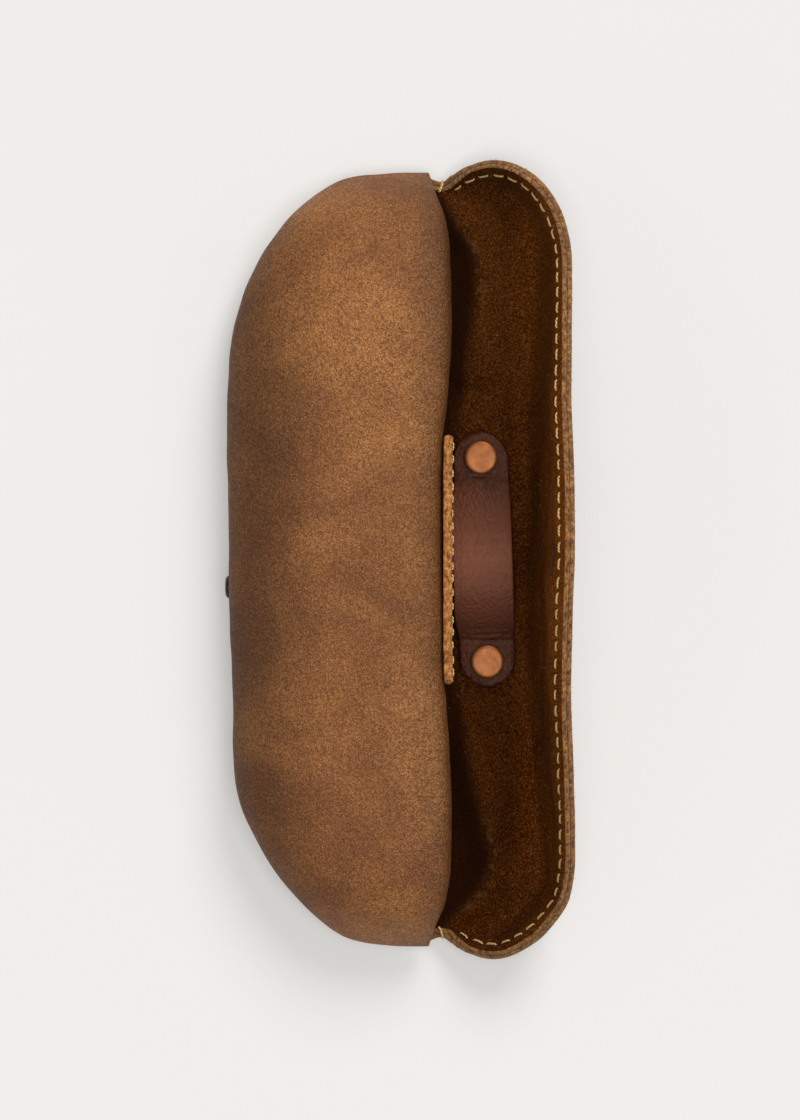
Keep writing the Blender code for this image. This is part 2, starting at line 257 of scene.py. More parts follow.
def mesh_object(name, points, faces, skins, skin_of_face=None):
    """A smooth-shaded object from points in millimetres."""
    mesh = bpy.data.meshes.new(name)
    mesh.from_pydata(points * MM, [], faces)
    for skin in skins:
        mesh.materials.append(skin)
    if skin_of_face is not None:
        mesh.polygons.foreach_set("material_index", skin_of_face)
    mesh.shade_smooth()
    obj = bpy.data.objects.new(name, mesh)
    bpy.context.scene.collection.objects.link(obj)
    return obj


def kept_cells(rows, columns, slit):
    """The four corners of every cell of a grid of points, without the block of cells SLIT."""
    index = np.arange(rows * columns).reshape(rows, columns)
    kept = np.ones((rows - 1, columns - 1), bool)
    if slit:
        kept[slit] = False
    corners = index[:-1, :-1], index[1:, :-1], index[1:, 1:], index[:-1, 1:]
    return np.stack([corner[kept] for corner in corners], axis=1)


def border_edges(cells, count):
    """The edges that only one cell has, out of a grid of COUNT points."""
    edges = np.concatenate([cells[:, [i, (i + 1) % 4]] for i in range(4)])
    single = ~np.isin(edges @ [1, count], edges @ [count, 1])
    return edges[single]


def outward_of(border, points, normals):
    """The direction out of the sheet at each point on its border."""
    outward = np.zeros(points.shape)
    along = points[border[:, 1]] - points[border[:, 0]]
    for end in (0, 1):
        np.add.at(outward, border[:, end], np.cross(along, normals[border[:, end]]))
    return unit(outward)


def edge_rings(high, low, outward, seed, swell, fray):
    """Rings of points down a raw edge from HIGH to LOW, without those two, swollen and frayed outward."""
    random = np.random.default_rng(seed)
    rings = []
    for share in np.linspace(0, 1, EDGE_STEPS + 1)[1:-1]:
        bulge = swell * 4 * share * (1 - share) + random.normal(0, fray, len(high))[:, None] * 0.6
        rings.append(high * (1 - share) + low * share + outward * bulge)
    return rings


def leather_sheet(name, grid, layer, skins, seed, slit=None, swell=0.16, fray=0.1):
    """A closed sheet between two distances from GRID, with a raw, slightly swollen edge.

    SKINS are the materials of its upper side, its lower side, its edge and, with a slit, the slit's edge.
    SLIT is a block of cells left out.
    """
    rows, columns = grid.shape[:2]
    count = rows * columns
    normals = grid_normals(grid)
    lower = (grid + normals * layer[0]).reshape(-1, 3)
    upper = (grid + normals * layer[1]).reshape(-1, 3)
    above = kept_cells(rows, columns, slit)
    border = border_edges(above, count)
    around = np.unique(border)
    outward = outward_of(border, lower, normals.reshape(-1, 3))[around]
    rings = edge_rings(upper[around], lower[around], outward, seed, swell, fray)
    inner = [2 * count + k * len(around) + np.arange(len(around)) for k in range(len(rings))]
    levels = [count + around, *inner, around]
    start, end = np.searchsorted(around, border).T
    walls = []
    for high, low in zip(levels, levels[1:]):
        walls.append(np.stack([high[end], high[start], low[start], low[end]], axis=1))
    faces = np.concatenate([above + count, above[:, ::-1], *walls])
    row, column = np.divmod(border[:, 0], columns)
    in_slit = (row > 0) & (row < rows - 1) & (column > 0) & (column < columns - 1)
    wall_skin = np.tile(np.where(in_slit, 3, 2), EDGE_STEPS)
    skin_of_face = np.concatenate([np.repeat([0, 1], len(above)), wall_skin])
    return mesh_object(name, np.vstack([lower, upper, *rings]), faces, skins, skin_of_face)


def ring_faces(rings, sides):
    """The faces that join each ring of SIDES points to the next."""
    faces = []
    for i in range(rings - 1):
        for j in range(sides):
            k = (j + 1) % sides
            faces.append((i * sides + j, i * sides + k, (i + 1) * sides + k, (i + 1) * sides + j))
    return faces


def tube(path, radius, sides=8):
    """Points and faces of a tube along PATH, open at its ends, whose radius may vary."""
    tangents = unit(np.gradient(path, axis=0))
    across = unit(np.cross(tangents, (0.3, 0.2, 1.0)))
    upward = np.cross(across, tangents)
    angles = np.linspace(0, 2 * np.pi, sides, endpoint=False)
    radius = np.broadcast_to(radius, len(path))[:, None, None]
    ring = np.cos(angles)[:, None] * across[:, None] + np.sin(angles)[:, None] * upward[:, None]
    points = (path[:, None] + radius * ring).reshape(-1, 3)
    return points, ring_faces(len(path), sides)


def join_tubes(name, tubes, skin):
    """One object from many tubes."""
    points, faces, start = [], [], 0
    for ring_points, ring_faces in tubes:
        points.append(ring_points)
        faces.extend([[index + start for index in face] for face in ring_faces])
        start += len(ring_points)
    return mesh_object(name, np.vstack(points), faces, [skin])


def stitch_tubes(line, out, seed, length=STITCH_LENGTH, pitch=STITCH_PITCH, radius=THREAD_RADIUS):
    """One short tube per stitch along LINE, with both ends sunk against the OUT direction."""
    random = np.random.default_rng(seed)
    along = lengths_along(line)
    side = unit(np.cross(unit(np.gradient(line, axis=0)), out))
    tubes = []
    for start in np.arange(pitch * 0.4, along[-1] - length, pitch):
        begin = start + random.normal(0, 0.09)
        long = length * random.uniform(0.93, 1.07)
        t = np.linspace(0, 1, 13)
        at = begin + long * t
        path = points_at(line, at)
        facing = unit(values_at(line, out, at))
        beside = unit(values_at(line, side, at))
        lean = random.uniform(0.05, 0.15)
        arch = STITCH_RISE * (1 - (2 * t - 1) ** 4) - 0.3 * np.abs(2 * t - 1) ** 9
        path = path + facing * arch[:, None] + beside * (lean * (2 * t - 1) * 1.2)[:, None]
        plump = radius * (1 - 0.3 * np.abs(2 * t - 1) ** 5) * random.uniform(0.92, 1.08)
        tubes.append(tube(path, plump))
    return tubes


def turned(name, profile, centre, skins, dent, seed, axis="Z", segments=72):
    """A solid of revolution from (radius, height) pairs, faintly uneven, standing on CENTRE along AXIS."""
    dense = even_points(np.array(profile, float), 46)
    angles = np.linspace(0, 2 * np.pi, segments, endpoint=False)
    radii, heights = dense[:, 0], dense[:, 1]
    tall = np.repeat(heights[:, None], segments, axis=1)
    points = np.stack([radii[:, None] * np.cos(angles), radii[:, None] * np.sin(angles), tall], axis=2)
    points = points + grid_normals(points) * (dent * ripple(points, 2.6, seed))[:, :, None]
    points[0], points[-1] = points[0].mean(axis=0), points[-1].mean(axis=0)
    points = points.reshape(-1, 3)
    if axis == "-X":
        points = np.stack([-points[:, 2], points[:, 1], points[:, 0]], axis=1)
    return mesh_object(name, points + np.array(centre), ring_faces(len(dense), segments), skins)


# ---------------------------------------------------------------- shapes of the case

def closed_line(inset, count):
    """COUNT points round the closed side from its +Y end, INSET inside the panel's middle surface."""
    line = smooth_curve(CLOSED_LINE, 600)
    along = unit(np.gradient(line, axis=0))
    inward = np.stack([-along[:, 1], along[:, 0]], axis=1)
    return even_points(line + inward * inset, count)


def past_fold(x):
    """0 up to X = 20 mm, 1 from X = 30 mm."""
    return ease((x - 20) / 10)


def rim_points(count):
    """The rim's plan from one corner of the pocket to the other, and its height at each point."""
    plan = even_points(both_ends(smooth_curve(RIM_LINE, 400)), count)
    along = lengths_along(plan)
    half = np.minimum(along, along[-1] - along)
    height = np.interp(half, *np.transpose(smooth_curve(RIM_HEIGHTS, 200)))
    forward = unit(np.gradient(plan, axis=0))
    outward = np.stack([-forward[:, 1], forward[:, 0]], axis=1)
    plan += outward * RIM_OUTWARD * ease(half[:, None] / 10)
    plan[:, 0] -= CORNER_TRIM * ease((CORNER_TRIM_Y - plan[:, 1]) / 8) * past_fold(plan[:, 0])
    bulge = RIM_BULGE * np.exp(-((plan[:, 1] - RIM_BULGE_Y) / RIM_BULGE_LENGTH) ** 2)
    plan[:, 0] += bulge * past_fold(plan[:, 0])
    return plan, height


def crease_gap(x, y):
    """How far each point lies to the flap's side of the crease."""
    line = smooth_curve(CREASE, 200)
    return x - np.interp(y, line[:, 0], line[:, 1])


def floor_lift(x, y):
    """How far the crease and the groove lift the flap's floor."""
    line = smooth_curve(CREASE_HEIGHT, 200)
    height = np.interp(y, line[:, 0], np.maximum(line[:, 1], 0))
    gap = crease_gap(x, y)
    width = np.where(gap < 0, *CREASE_WIDTHS)
    groove = smooth_curve(GROOVE, 60)[::-1]
    share = (y - groove[0, 1]) / (groove[-1, 1] - groove[0, 1])
    fade = ease(share / 0.3) * ease((1 - share) / 0.3)
    off = x - np.interp(y, groove[:, 1], groove[:, 0])
    return height * np.exp(-(gap / width) ** 2) - GROOVE_DEPTH * fade * np.exp(-(off / GROOVE_WIDTH) ** 2)


def flap_rib(root, rim, height, flat_steps, wall_steps):
    """Points from ROOT along the floor, round the bend and up the wall to the rim."""
    reach = np.linalg.norm(rim - root)
    rise = height - CORE
    spread = min(WALL_SPREAD, 0.8 * reach)
    middle = np.exp(-((rim[1] / MIDDLE_FLARE_LENGTH) ** 2))
    flare = min(WALL_FLARE, 0.3 * spread) + MIDDLE_FLARE * middle
    top = rise - min(FLARE_HEIGHT + MIDDLE_FLARE_HEIGHT * middle, 0.4 * rise)
    corners = np.array([(spread, 0), (0.35 * flare, 0), (flare, top), (0, rise)])
    t = np.linspace(0, 1, wall_steps)[:, None]
    wall = np.hstack([(1 - t) ** 3, 3 * t * (1 - t) ** 2, 3 * t**2 * (1 - t), t**3]) @ corners
    from_rim = np.concatenate([np.linspace(reach, spread, flat_steps)[:-1], wall[:, 0]])
    z = CORE + np.concatenate([np.zeros(flat_steps - 1), wall[:, 1]])
    plan = rim + (root - rim) / max(reach, 1e-6) * from_rim[:, None]
    return np.column_stack([plan, z])


def body_grid(ribs=521, plate_steps=26, flat_steps=30, wall_steps=66):
    """The surface between the leather and its lining: pocket's back, fold, and flap up to its rim."""
    rim, height = rim_points(ribs + 4)
    rim, height = rim[2:-2], height[2:-2]
    root = even_points(both_ends(smooth_curve(ROOT_LINE, 400)), ribs + 4)[2:-2]
    end = np.array([CORNER, (2.0, 81.9)])
    closed = np.vstack([end, closed_line(PLATE_INSET, 400), end[::-1] * (1, -1)])
    closed = even_points(closed, ribs + 4)[2:-2]
    height = height + RIM_WAVE * ripple(rim, 22, 3) * ease((height - 8) / 20)
    grid = []
    for left, middle, right, top in zip(closed, root, rim, height):
        plate = left + (middle - left) * np.linspace(0, 1, plate_steps)[:-1, None]
        plate = np.column_stack([plate, np.full(len(plate), CORE)])
        grid.append(np.vstack([plate, flap_rib(middle, right, top, flat_steps, wall_steps)]))
    grid = np.array(grid)
    soft = ease((grid[..., 2] - CORE) / 12) * ease((height[:, None] + 2 - grid[..., 2]) / 10)
    sway = 0.5 * ripple(grid, 26, 5) + 0.16 * ripple(grid, 9, 6)
    grid = grid - grid_normals(grid) * (soft * sway)[..., None]
    lift = floor_lift(grid[..., 0], grid[..., 1]) * ease((16 - grid[..., 2]) / 10)
    grid[..., 2] = np.maximum(grid[..., 2] + lift, CORE)
    grid[..., 0] -= FLAP_SKEW * grid[..., 1] * ease((grid[..., 0] - 24) / 8)
    return grid


def dome_section(count):
    """The panel's section, as fractions of its width and height, from the seam to the lip."""
    width = MOUTH_LINE[0][1] - min(x for x, y in CLOSED_LINE)
    roll = LIP_RADIUS / width
    drop = LIP_RADIUS / DOME_HEIGHT
    points = [
        (BELLY_TUCK / width, 0.0), (0.6 / width, 0.16), (0.0, 0.32), (0.02, 0.46), (0.08, 0.63),
        (0.2, 0.81), (0.38, 0.94), (0.6, 1.0), (0.8, 1.01), (1 - roll, 1.0),
        (1 - 0.29 * roll, 1 - 0.29 * drop), (1.0, 1 - drop),
    ]
    return smooth_curve(points, count)


def dome_grid(rows=331, columns=121):
    """The middle surface of the pocket's panel."""
    section = dome_section(columns)
    left, y = closed_line(0, rows)[::-1].T
    rise = 1 - (np.abs(y) / HALF_LENGTH) ** DOME_END_POWER
    right = np.interp(np.abs(y), *np.transpose(smooth_curve(MOUTH_LINE, 160)))
    base = FLOOR_TOP + 2 * GAP + LEATHER / 2 * (1 - rise)
    bulge = np.sqrt(rise)[:, None]
    share_across = bulge * section[:, 0] + (1 - bulge) * np.linspace(0, 1, columns)
    x = left[:, None] + (right - left)[:, None] * share_across
    z = base[:, None] + DOME_HEIGHT * rise[:, None] * section[:, 1]
    grid = np.stack([x, np.repeat(y[:, None], columns, axis=1), z], axis=2)
    soft = np.sqrt(rise)[:, None] * ease(np.linspace(0, 6, columns))
    sway = 0.3 * ripple(grid, 34, 11) + 0.07 * ripple(grid, 9, 12)
    return grid + grid_normals(grid) * (soft * sway)[..., None]


def thickness_share(below):
    """The share of the leather's thickness that is left at a distance BELOW the rim."""
    return SKIVED_SHARE + (1 - SKIVED_SHARE) * ease(below / SKIVED_DEPTH)


def skived(grid, layer):
    """The two distances of LAYER at every point of GRID, thinner close to the rim."""
    steps = np.linalg.norm(np.diff(grid[:, ::-1], axis=1), axis=2)
    below = np.hstack([np.zeros((len(grid), 1)), np.cumsum(steps, axis=1)])[:, ::-1]
    share = thickness_share(below)
    return [(distance * share)[..., None] for distance in layer]


def below_rim(grid, depth):
    """The points DEPTH below the rim along every rib, and the surface's normals there."""
    normals = grid_normals(grid)
    points, facings = [], []
    for rib, normal in zip(grid[:, ::-1], normals[:, ::-1]):
        points.append(points_at(rib, [depth])[0])
        facings.append(values_at(rib, normal, [depth])[0])
    return np.array(points), unit(np.array(facings))


def strap_grid(rows=181, columns=41):
    """The middle surface of the strap: flat under the rivets, bowed between them, with round ends."""
    y = STRAP_HALF_LENGTH * np.sin(np.linspace(-1, 1, rows) * np.pi / 2)
    end = np.clip((np.abs(y) - STRAP_HALF_LENGTH + STRAP_HALF_WIDTH) / STRAP_HALF_WIDTH, 0, 0.9998)
    half_width = STRAP_HALF_WIDTH * np.sqrt(1 - end**2)
    share = np.clip(1 - np.abs(y) / (RIVET_Y - RIVET_HEAD_RADIUS - 0.6), 0, 1)
    bow = STRAP_BOW * np.clip(share**1.3 * (3 - 2 * share), 0, 1)
    across = np.linspace(-1, 1, columns)
    wide = ease(share / 0.35)[:, None]
    middle = STRAP_X - STRAP_SLANT * y[:, None] / RIVET_Y - 0.35 * wide
    x = middle + half_width[:, None] * across * (1 + 0.09 * wide)
    z = FLOOR_TOP + GAP + LEATHER / 2 + bow[:, None] - 0.25 * np.abs(across) ** 3
    near_rivet = np.exp(-((np.abs(y) - 16.6) / 2.6) ** 2)[:, None]
    creases = 0.07 * np.sin(y[:, None] * 5.2 + 0.6 * np.sin(across * 4 + y[:, None])) * near_rivet
    shape = x.shape
    return np.stack([x, np.broadcast_to(y[:, None], shape), z + creases], axis=2)


# ---------------------------------------------------------------- materials

class Finish:
    """A node material, built one node at a time."""

    def __init__(self, name):
        self.material = bpy.data.materials.new(name)
        self.material.use_nodes = True
        self.tree = self.material.node_tree
        self.shader = self.tree.nodes["Principled BSDF"]
        self.place = self.node("ShaderNodeTexCoord").outputs["Object"]

    def node(self, kind, **settings):
        """A new node with its settings."""
        made = self.tree.nodes.new(kind)
        for key, value in settings.items():
            setattr(made, key, value)
        return made

    def feed(self, socket, value):
        """Links VALUE to a socket, or sets it there when it is a plain value."""
        if isinstance(value, bpy.types.NodeSocket):
            self.tree.links.new(value, socket)
        else:
            socket.default_value = value

    def stretched(self, scale, turn=(0, 0, 0)):
        """The object's place, scaled and turned, for a pattern that runs one way."""
        mapping = self.node("ShaderNodeMapping")
        self.feed(mapping.inputs["Vector"], self.place)
        mapping.inputs["Scale"].default_value = scale
        mapping.inputs["Rotation"].default_value = turn
        return mapping.outputs["Vector"]

    def share_along(self, axis, low_mm, high_mm):
        """0 to 1 between two places along an axis of the object."""
        place = self.node("ShaderNodeSeparateXYZ")
        self.feed(place.inputs["Vector"], self.place)
        made = self.node("ShaderNodeMapRange")
        made.inputs["From Min"].default_value = low_mm * MM
        made.inputs["From Max"].default_value = high_mm * MM
        self.feed(made.inputs["Value"], place.outputs[axis])
        return made.outputs["Result"]

    def noise(self, size_mm, detail=3.0, rough=0.55, place=None, distortion=0.0):
        """Cloudy noise whose blobs are about SIZE_MM across."""
        made = self.node("ShaderNodeTexNoise")
        self.feed(made.inputs["Vector"], place or self.place)
        made.inputs["Scale"].default_value = 1000.0 / size_mm
        made.inputs["Detail"].default_value = detail
        made.inputs["Roughness"].default_value = rough
        made.inputs["Distortion"].default_value = distortion
        return made.outputs["Fac"]

    def cells(self, size_mm, feature="F1", place=None):
        """The distance from the middle of cells about SIZE_MM across."""
        made = self.node("ShaderNodeTexVoronoi", feature=feature)
        self.feed(made.inputs["Vector"], place or self.place)
        made.inputs["Scale"].default_value = 1000.0 / size_mm
        return made.outputs["Distance"]

    def ramp(self, value, *stops):
        """Maps VALUE through (position, level) stops, where a level is a number or a colour."""
        made = self.node("ShaderNodeValToRGB")
        band = made.color_ramp
        while len(band.elements) < len(stops):
            band.elements.new(0.5)
        for element, (position, level) in zip(band.elements, stops):
            element.position = position
            element.color = (*level, 1.0) if isinstance(level, tuple) else (level, level, level, 1.0)
        self.feed(made.inputs["Fac"], value)
        return made.outputs["Color"]

    def mix(self, share, first, second, blend="MIX"):
        """Two colours mixed. A Mix node's colour sockets are inputs 6 and 7 and output 2."""
        made = self.node("ShaderNodeMix", data_type="RGBA", blend_type=blend)
        self.feed(made.inputs[0], share)
        self.feed(made.inputs[6], (*first, 1.0) if isinstance(first, tuple) else first)
        self.feed(made.inputs[7], (*second, 1.0) if isinstance(second, tuple) else second)
        return made.outputs[2]

    def math(self, operation, first, second):
        made = self.node("ShaderNodeMath", operation=operation)
        self.feed(made.inputs[0], first)
        self.feed(made.inputs[1], second)
        return made.outputs[0]

    def raised(self, *layers):
        """Bump from (height socket, depth in mm) layers, one over the other."""
        normal = None
        for height, depth in layers:
            bump = self.node("ShaderNodeBump")
            bump.inputs["Distance"].default_value = depth * MM
            self.feed(bump.inputs["Height"], height)
            if normal:
                self.feed(bump.inputs["Normal"], normal)
            normal = bump.outputs["Normal"]
        self.feed(self.shader.inputs["Normal"], normal)

    def surface(self, **inputs):
        """Feeds the shader's inputs, named with _ for each space."""
        for name, value in inputs.items():
            self.feed(self.shader.inputs[name.replace("_", " ")], value)


def grained_leather():
    """Smooth tan leather: cloudy colour, a fine pebbled grain, pale specks, and painted shade: darker
    towards the closed side, the lip and the +Y half.
    """
    look = Finish("tan_grain_leather")
    clouds = look.noise(30, 4, 0.5, distortion=0.6)
    patches = look.noise(7, 4, 0.6)
    fine = look.noise(0.34, 3, 0.65)
    coarse = look.noise(0.9, 3, 0.6)
    pebbles = look.cells(0.42)
    streaks = look.noise(0.45, 2, 0.6, look.stretched((1.0, 0.35, 1.0), (0, 0, 0.6)))
    tans = (0.26, 0.095, 0.028), (0.46, 0.180, 0.050), (0.68, 0.285, 0.082)
    colour = look.ramp(clouds, *zip((0.30, 0.50, 0.70), tans))
    colour = look.mix(look.ramp(patches, (0.46, 0.0), (0.74, 0.35)), colour, (0.21, 0.066, 0.022))
    colour = look.mix(look.ramp(fine, (0.34, 0.85), (0.55, 0.0)), colour, (0.115, 0.036, 0.010))
    colour = look.mix(look.ramp(fine, (0.54, 0.0), (0.76, 0.62)), colour, (0.66, 0.330, 0.135))
    colour = look.mix(look.ramp(coarse, (0.36, 0.40), (0.52, 0.0)), colour, (0.13, 0.042, 0.012))
    colour = look.mix(look.ramp(streaks, (0.30, 0.45), (0.46, 0.0)), colour, (0.14, 0.045, 0.013))
    colour = look.mix(look.ramp(pebbles, (0.42, 0.0), (0.85, 0.50)), colour, (0.10, 0.032, 0.009))
    specks = look.ramp(look.cells(2.6), (0.028, 1.0), (0.045, 0.0))
    colour = look.mix(look.math("MULTIPLY", specks, 0.55), colour, (0.72, 0.55, 0.36))
    spots = look.cells(4.3, place=look.stretched((1, 1, 1), (0.3, 0.5, 0.1)))
    dark_specks = look.ramp(spots, (0.02, 1.0), (0.04, 0.0))
    colour = look.mix(look.math("MULTIPLY", dark_specks, 0.6), colour, (0.06, 0.03, 0.015))
    # Painted shade: darker towards the closed side and towards the lip, where the light falls off.
    across = look.share_along("X", -36, 12)
    painted_shade_across = look.ramp(across, (0.0, 0.52), (0.17, 0.58), (0.45, 1.0), (0.80, 0.90), (0.97, 0.48))
    colour = look.mix(1.0, colour, painted_shade_across, "MULTIPLY")
    # Painted shade: a little darker over the +Y half.
    ends = look.ramp(look.share_along("Y", -80, 80), (0.0, 1.0), (0.3, 0.99), (0.7, 0.92), (1.0, 0.96))
    colour = look.mix(1.0, colour, ends, "MULTIPLY")
    roughness = look.ramp(look.noise(1.4, 3), (0.3, 0.48), (0.7, 0.64))
    look.surface(Base_Color=colour, Roughness=roughness, Specular_IOR_Level=0.25)
    look.raised((clouds, 0.6), (patches, 0.2), (pebbles, 0.15), (streaks, 0.12), (fine, 0.09))
    return look.material


def suede():
    """Dark olive-brown suede with a mottled nap, brushed streaks and pale dust, with painted light towards
    +Y, painted shade on the floor and near-black painted shade in the valley by the crease.
    """
    look = Finish("suede_nap")
    brushed = look.noise(9, 4, 0.6, look.stretched((1.0, 0.45, 0.7), (0, 0, 0.35)), 0.8)
    mottled = look.noise(2.2, 4, 0.65)
    nap = look.noise(0.38, 3, 0.75)
    browns = (0.109, 0.023, 0.0021), (0.168, 0.040, 0.0045), (0.24, 0.066, 0.009)
    colour = look.ramp(brushed, *zip((0.33, 0.52, 0.70), browns))
    colour = look.mix(look.ramp(mottled, (0.42, 0.0), (0.72, 0.55)), colour, (0.256, 0.070, 0.0096))
    # Painted light: lighter towards the +Y end.
    painted_light_along_y = look.math("MULTIPLY", look.share_along("Y", -5, 80), 0.35)
    colour = look.mix(painted_light_along_y, colour, (0.30, 0.095, 0.016))
    colour = look.mix(look.ramp(nap, (0.38, 0.9), (0.54, 0.0)), colour, (0.035, 0.008, 0.001))
    colour = look.mix(look.ramp(nap, (0.55, 0.0), (0.72, 0.85)), colour, (0.60, 0.23, 0.048))
    # Painted shade: the floor darkened to about 0.37, rising to full strength up the wall past X = 32 mm.
    wall = look.ramp(look.share_along("X", 14, 34), (0.0, 0.36), (0.5, 0.38), (0.9, 1.0))
    colour = look.mix(1.0, colour, wall, "MULTIPLY")
    # The depth attribute carries painted shade: the valley between the lip and the crease is darkened to
    # near black.
    depth = look.node("ShaderNodeAttribute", attribute_name="depth").outputs["Fac"]
    fold = look.node("ShaderNodeAttribute", attribute_name="fold").outputs["Fac"]
    colour = look.mix(look.math("MULTIPLY", depth, 0.85), colour, (0.014, 0.0035, 0.001))
    # Paler flecks along the crease line, towards both ends.
    worn = look.math("MULTIPLY", fold, look.ramp(look.noise(1.6, 3), (0.50, 0.0), (0.74, 0.22)))
    colour = look.mix(worn, colour, (0.36, 0.20, 0.08))
    dust = look.ramp(look.cells(2.3), (0.03, 1.0), (0.06, 0.0))
    colour = look.mix(look.math("MULTIPLY", dust, 0.30), colour, (0.55, 0.42, 0.26))
    look.surface(Base_Color=colour, Roughness=0.92, Specular_IOR_Level=0.03)
    look.surface(Sheen_Weight=0.05, Sheen_Roughness=0.5)
    look.shader.inputs["Sheen Tint"].default_value = (0.60, 0.28, 0.08, 1.0)
    look.raised((mottled, 0.22), (nap, 0.18))
    return look.material


def raw_edge(name, pale, middle, dark):
    """The fibrous cut edge of leather."""
    look = Finish(name)
    fibres = look.noise(0.7, 4, 0.8, look.stretched((1.0, 0.5, 1.6)))
    blotches = look.noise(3.5, 3)
    colour = look.ramp(fibres, (0.38, dark), (0.5, middle), (0.63, pale))
    colour = look.mix(look.ramp(blotches, (0.4, 0.0), (0.7, 0.45)), colour, dark)
    look.surface(Base_Color=colour, Roughness=0.9, Specular_IOR_Level=0.2, Sheen_Weight=0.2)
    look.raised((fibres, 0.3), (look.noise(0.25, 2), 0.12))
    return look.material


def strap_leather():
    """Dark red-brown waxed leather with fine cross wrinkles, a satin shine and a painted highlight along the
    middle of its bow.
    """
    look = Finish("waxed_strap_leather")
    clouds = look.noise(7, 3)
    grain = look.cells(0.7, feature="SMOOTH_F1")
    wrinkles = look.noise(1.3, 3, 0.6, look.stretched((0.28, 1.0, 0.5), (0, 0, 0.08)), 0.5)
    colour = look.ramp(clouds, (0.3, (0.045, 0.008, 0.0025)), (0.7, (0.075, 0.017, 0.006)))
    # Painted highlight: lighter along the middle of the bow.
    painted_highlight_middle = look.ramp(look.share_along("Y", -17, 17), (0.0, 0.0), (0.5, 0.9), (1.0, 0.0))
    colour = look.mix(painted_highlight_middle, colour, (0.24, 0.078, 0.042))
    along = look.share_along("Y", -27, 27)
    near_rivets = look.ramp(along, (0.12, 1.0), (0.30, 0.1), (0.70, 0.1), (0.88, 1.0))
    lines = look.math("MULTIPLY", look.ramp(wrinkles, (0.38, 0.5), (0.5, 0.0)), near_rivets)
    colour = look.mix(lines, colour, (0.020, 0.005, 0.003))
    colour = look.mix(look.ramp(grain, (0.5, 0.0), (0.9, 0.3)), colour, (0.04, 0.012, 0.008))
    roughness = look.ramp(look.noise(1.1, 3), (0.3, 0.36), (0.7, 0.5))
    look.surface(Base_Color=colour, Roughness=roughness, Specular_IOR_Level=0.26)
    look.shader.inputs["Specular Tint"].default_value = (1.0, 0.62, 0.45, 1.0)
    folds = look.math("MULTIPLY", wrinkles, near_rivets)
    look.raised((folds, 0.16), (grain, 0.12), (look.noise(0.35, 2), 0.04))
    return look.material


def strap_edge():
    """The strap's burnished edge."""
    look = Finish("burnished_edge")
    fibres = look.noise(0.7, 3, 0.6)
    colour = look.ramp(fibres, (0.3, (0.008, 0.004, 0.004)), (0.7, (0.024, 0.011, 0.009)))
    look.surface(Base_Color=colour, Roughness=0.42)
    look.raised((fibres, 0.1))
    return look.material


def copper():
    """Flat, slightly tarnished copper."""
    look = Finish("worn_copper")
    smudge = look.noise(2.2, 4, 0.6)
    scratches = look.noise(0.5, 3, 0.6, look.stretched((1.0, 0.08, 1.0), (0, 0, 0.7)))
    colour = look.ramp(smudge, (0.3, (0.30, 0.098, 0.028)), (0.7, (0.34, 0.117, 0.036)))
    roughness = look.ramp(smudge, (0.3, 0.52), (0.7, 0.40))
    look.surface(Base_Color=colour, Roughness=roughness, Metallic=0.7)
    look.raised((scratches, 0.012), (look.noise(0.8, 3), 0.02))
    return look.material


def dark_metal():
    """The stud's worn, blackened metal."""
    look = Finish("dark_stud_metal")
    wear = look.noise(0.9, 3)
    look.surface(Base_Color=look.ramp(wear, (0.35, (0.03, 0.024, 0.02)), (0.75, (0.10, 0.075, 0.055))))
    look.surface(Roughness=look.ramp(wear, (0.3, 0.32), (0.7, 0.5)), Metallic=1.0)
    look.raised((wear, 0.02))
    return look.material


def waxed_thread():
    """Pale gold waxed thread, twisted."""
    look = Finish("waxed_thread")
    twist = look.node("ShaderNodeTexWave", wave_type="BANDS", bands_direction="DIAGONAL")
    look.feed(twist.inputs["Vector"], look.place)
    twist.inputs["Scale"].default_value = 1000 / 1.1
    twist.inputs["Distortion"].default_value = 1.2
    strands = twist.outputs["Fac"]
    golds = (0.50, 0.26, 0.065), (0.84, 0.53, 0.16), (0.96, 0.70, 0.30)
    colour = look.ramp(strands, *zip((0.1, 0.5, 1.0), golds))
    colour = look.mix(look.ramp(look.noise(2.0, 3), (0.45, 0.0), (0.75, 0.3)), colour, (0.55, 0.32, 0.10))
    look.surface(Base_Color=colour, Roughness=0.55, Specular_IOR_Level=0.35, Sheen_Weight=0.15)
    look.raised((strands, 0.12))
    return look.material


def fibre_hair():
    """Pale loose fibres."""
    look = Finish("loose_fibres")
    shade = look.noise(1.5, 2)
    colour = look.ramp(shade, (0.35, (0.20, 0.11, 0.04)), (0.7, (0.52, 0.34, 0.16)))
    look.surface(Base_Color=colour, Roughness=0.8)
    return look.material


def pale_floor():
    """The floor, which glows a little so that it stays as even as in a studio."""
    look = Finish("pale_floor")
    shade = look.noise(120, 3)
    colour = look.ramp(shade, (0.3, (0.582, 0.577, 0.569)), (0.7, (0.589, 0.584, 0.576)))
    look.surface(Base_Color=colour, Roughness=0.85)
    look.surface(Specular_IOR_Level=0.0, Emission_Color=(1.0, 0.99, 0.975, 1.0), Emission_Strength=0.306)
    return look.material


# ---------------------------------------------------------------- pieces

def bend_at_fold(obj):
    """Bakes OBJ's placement into its mesh."""
    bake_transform(obj)


def settle(obj, slot, *nodes, body=None):
    """OBJ takes the place of NODES, which are hidden, and rides on BODY, or has its placement baked into its
    mesh when BODY is left out.
    """
    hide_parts(*nodes)
    if body:
        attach(obj, body)
    else:
        bend_at_fold(obj)


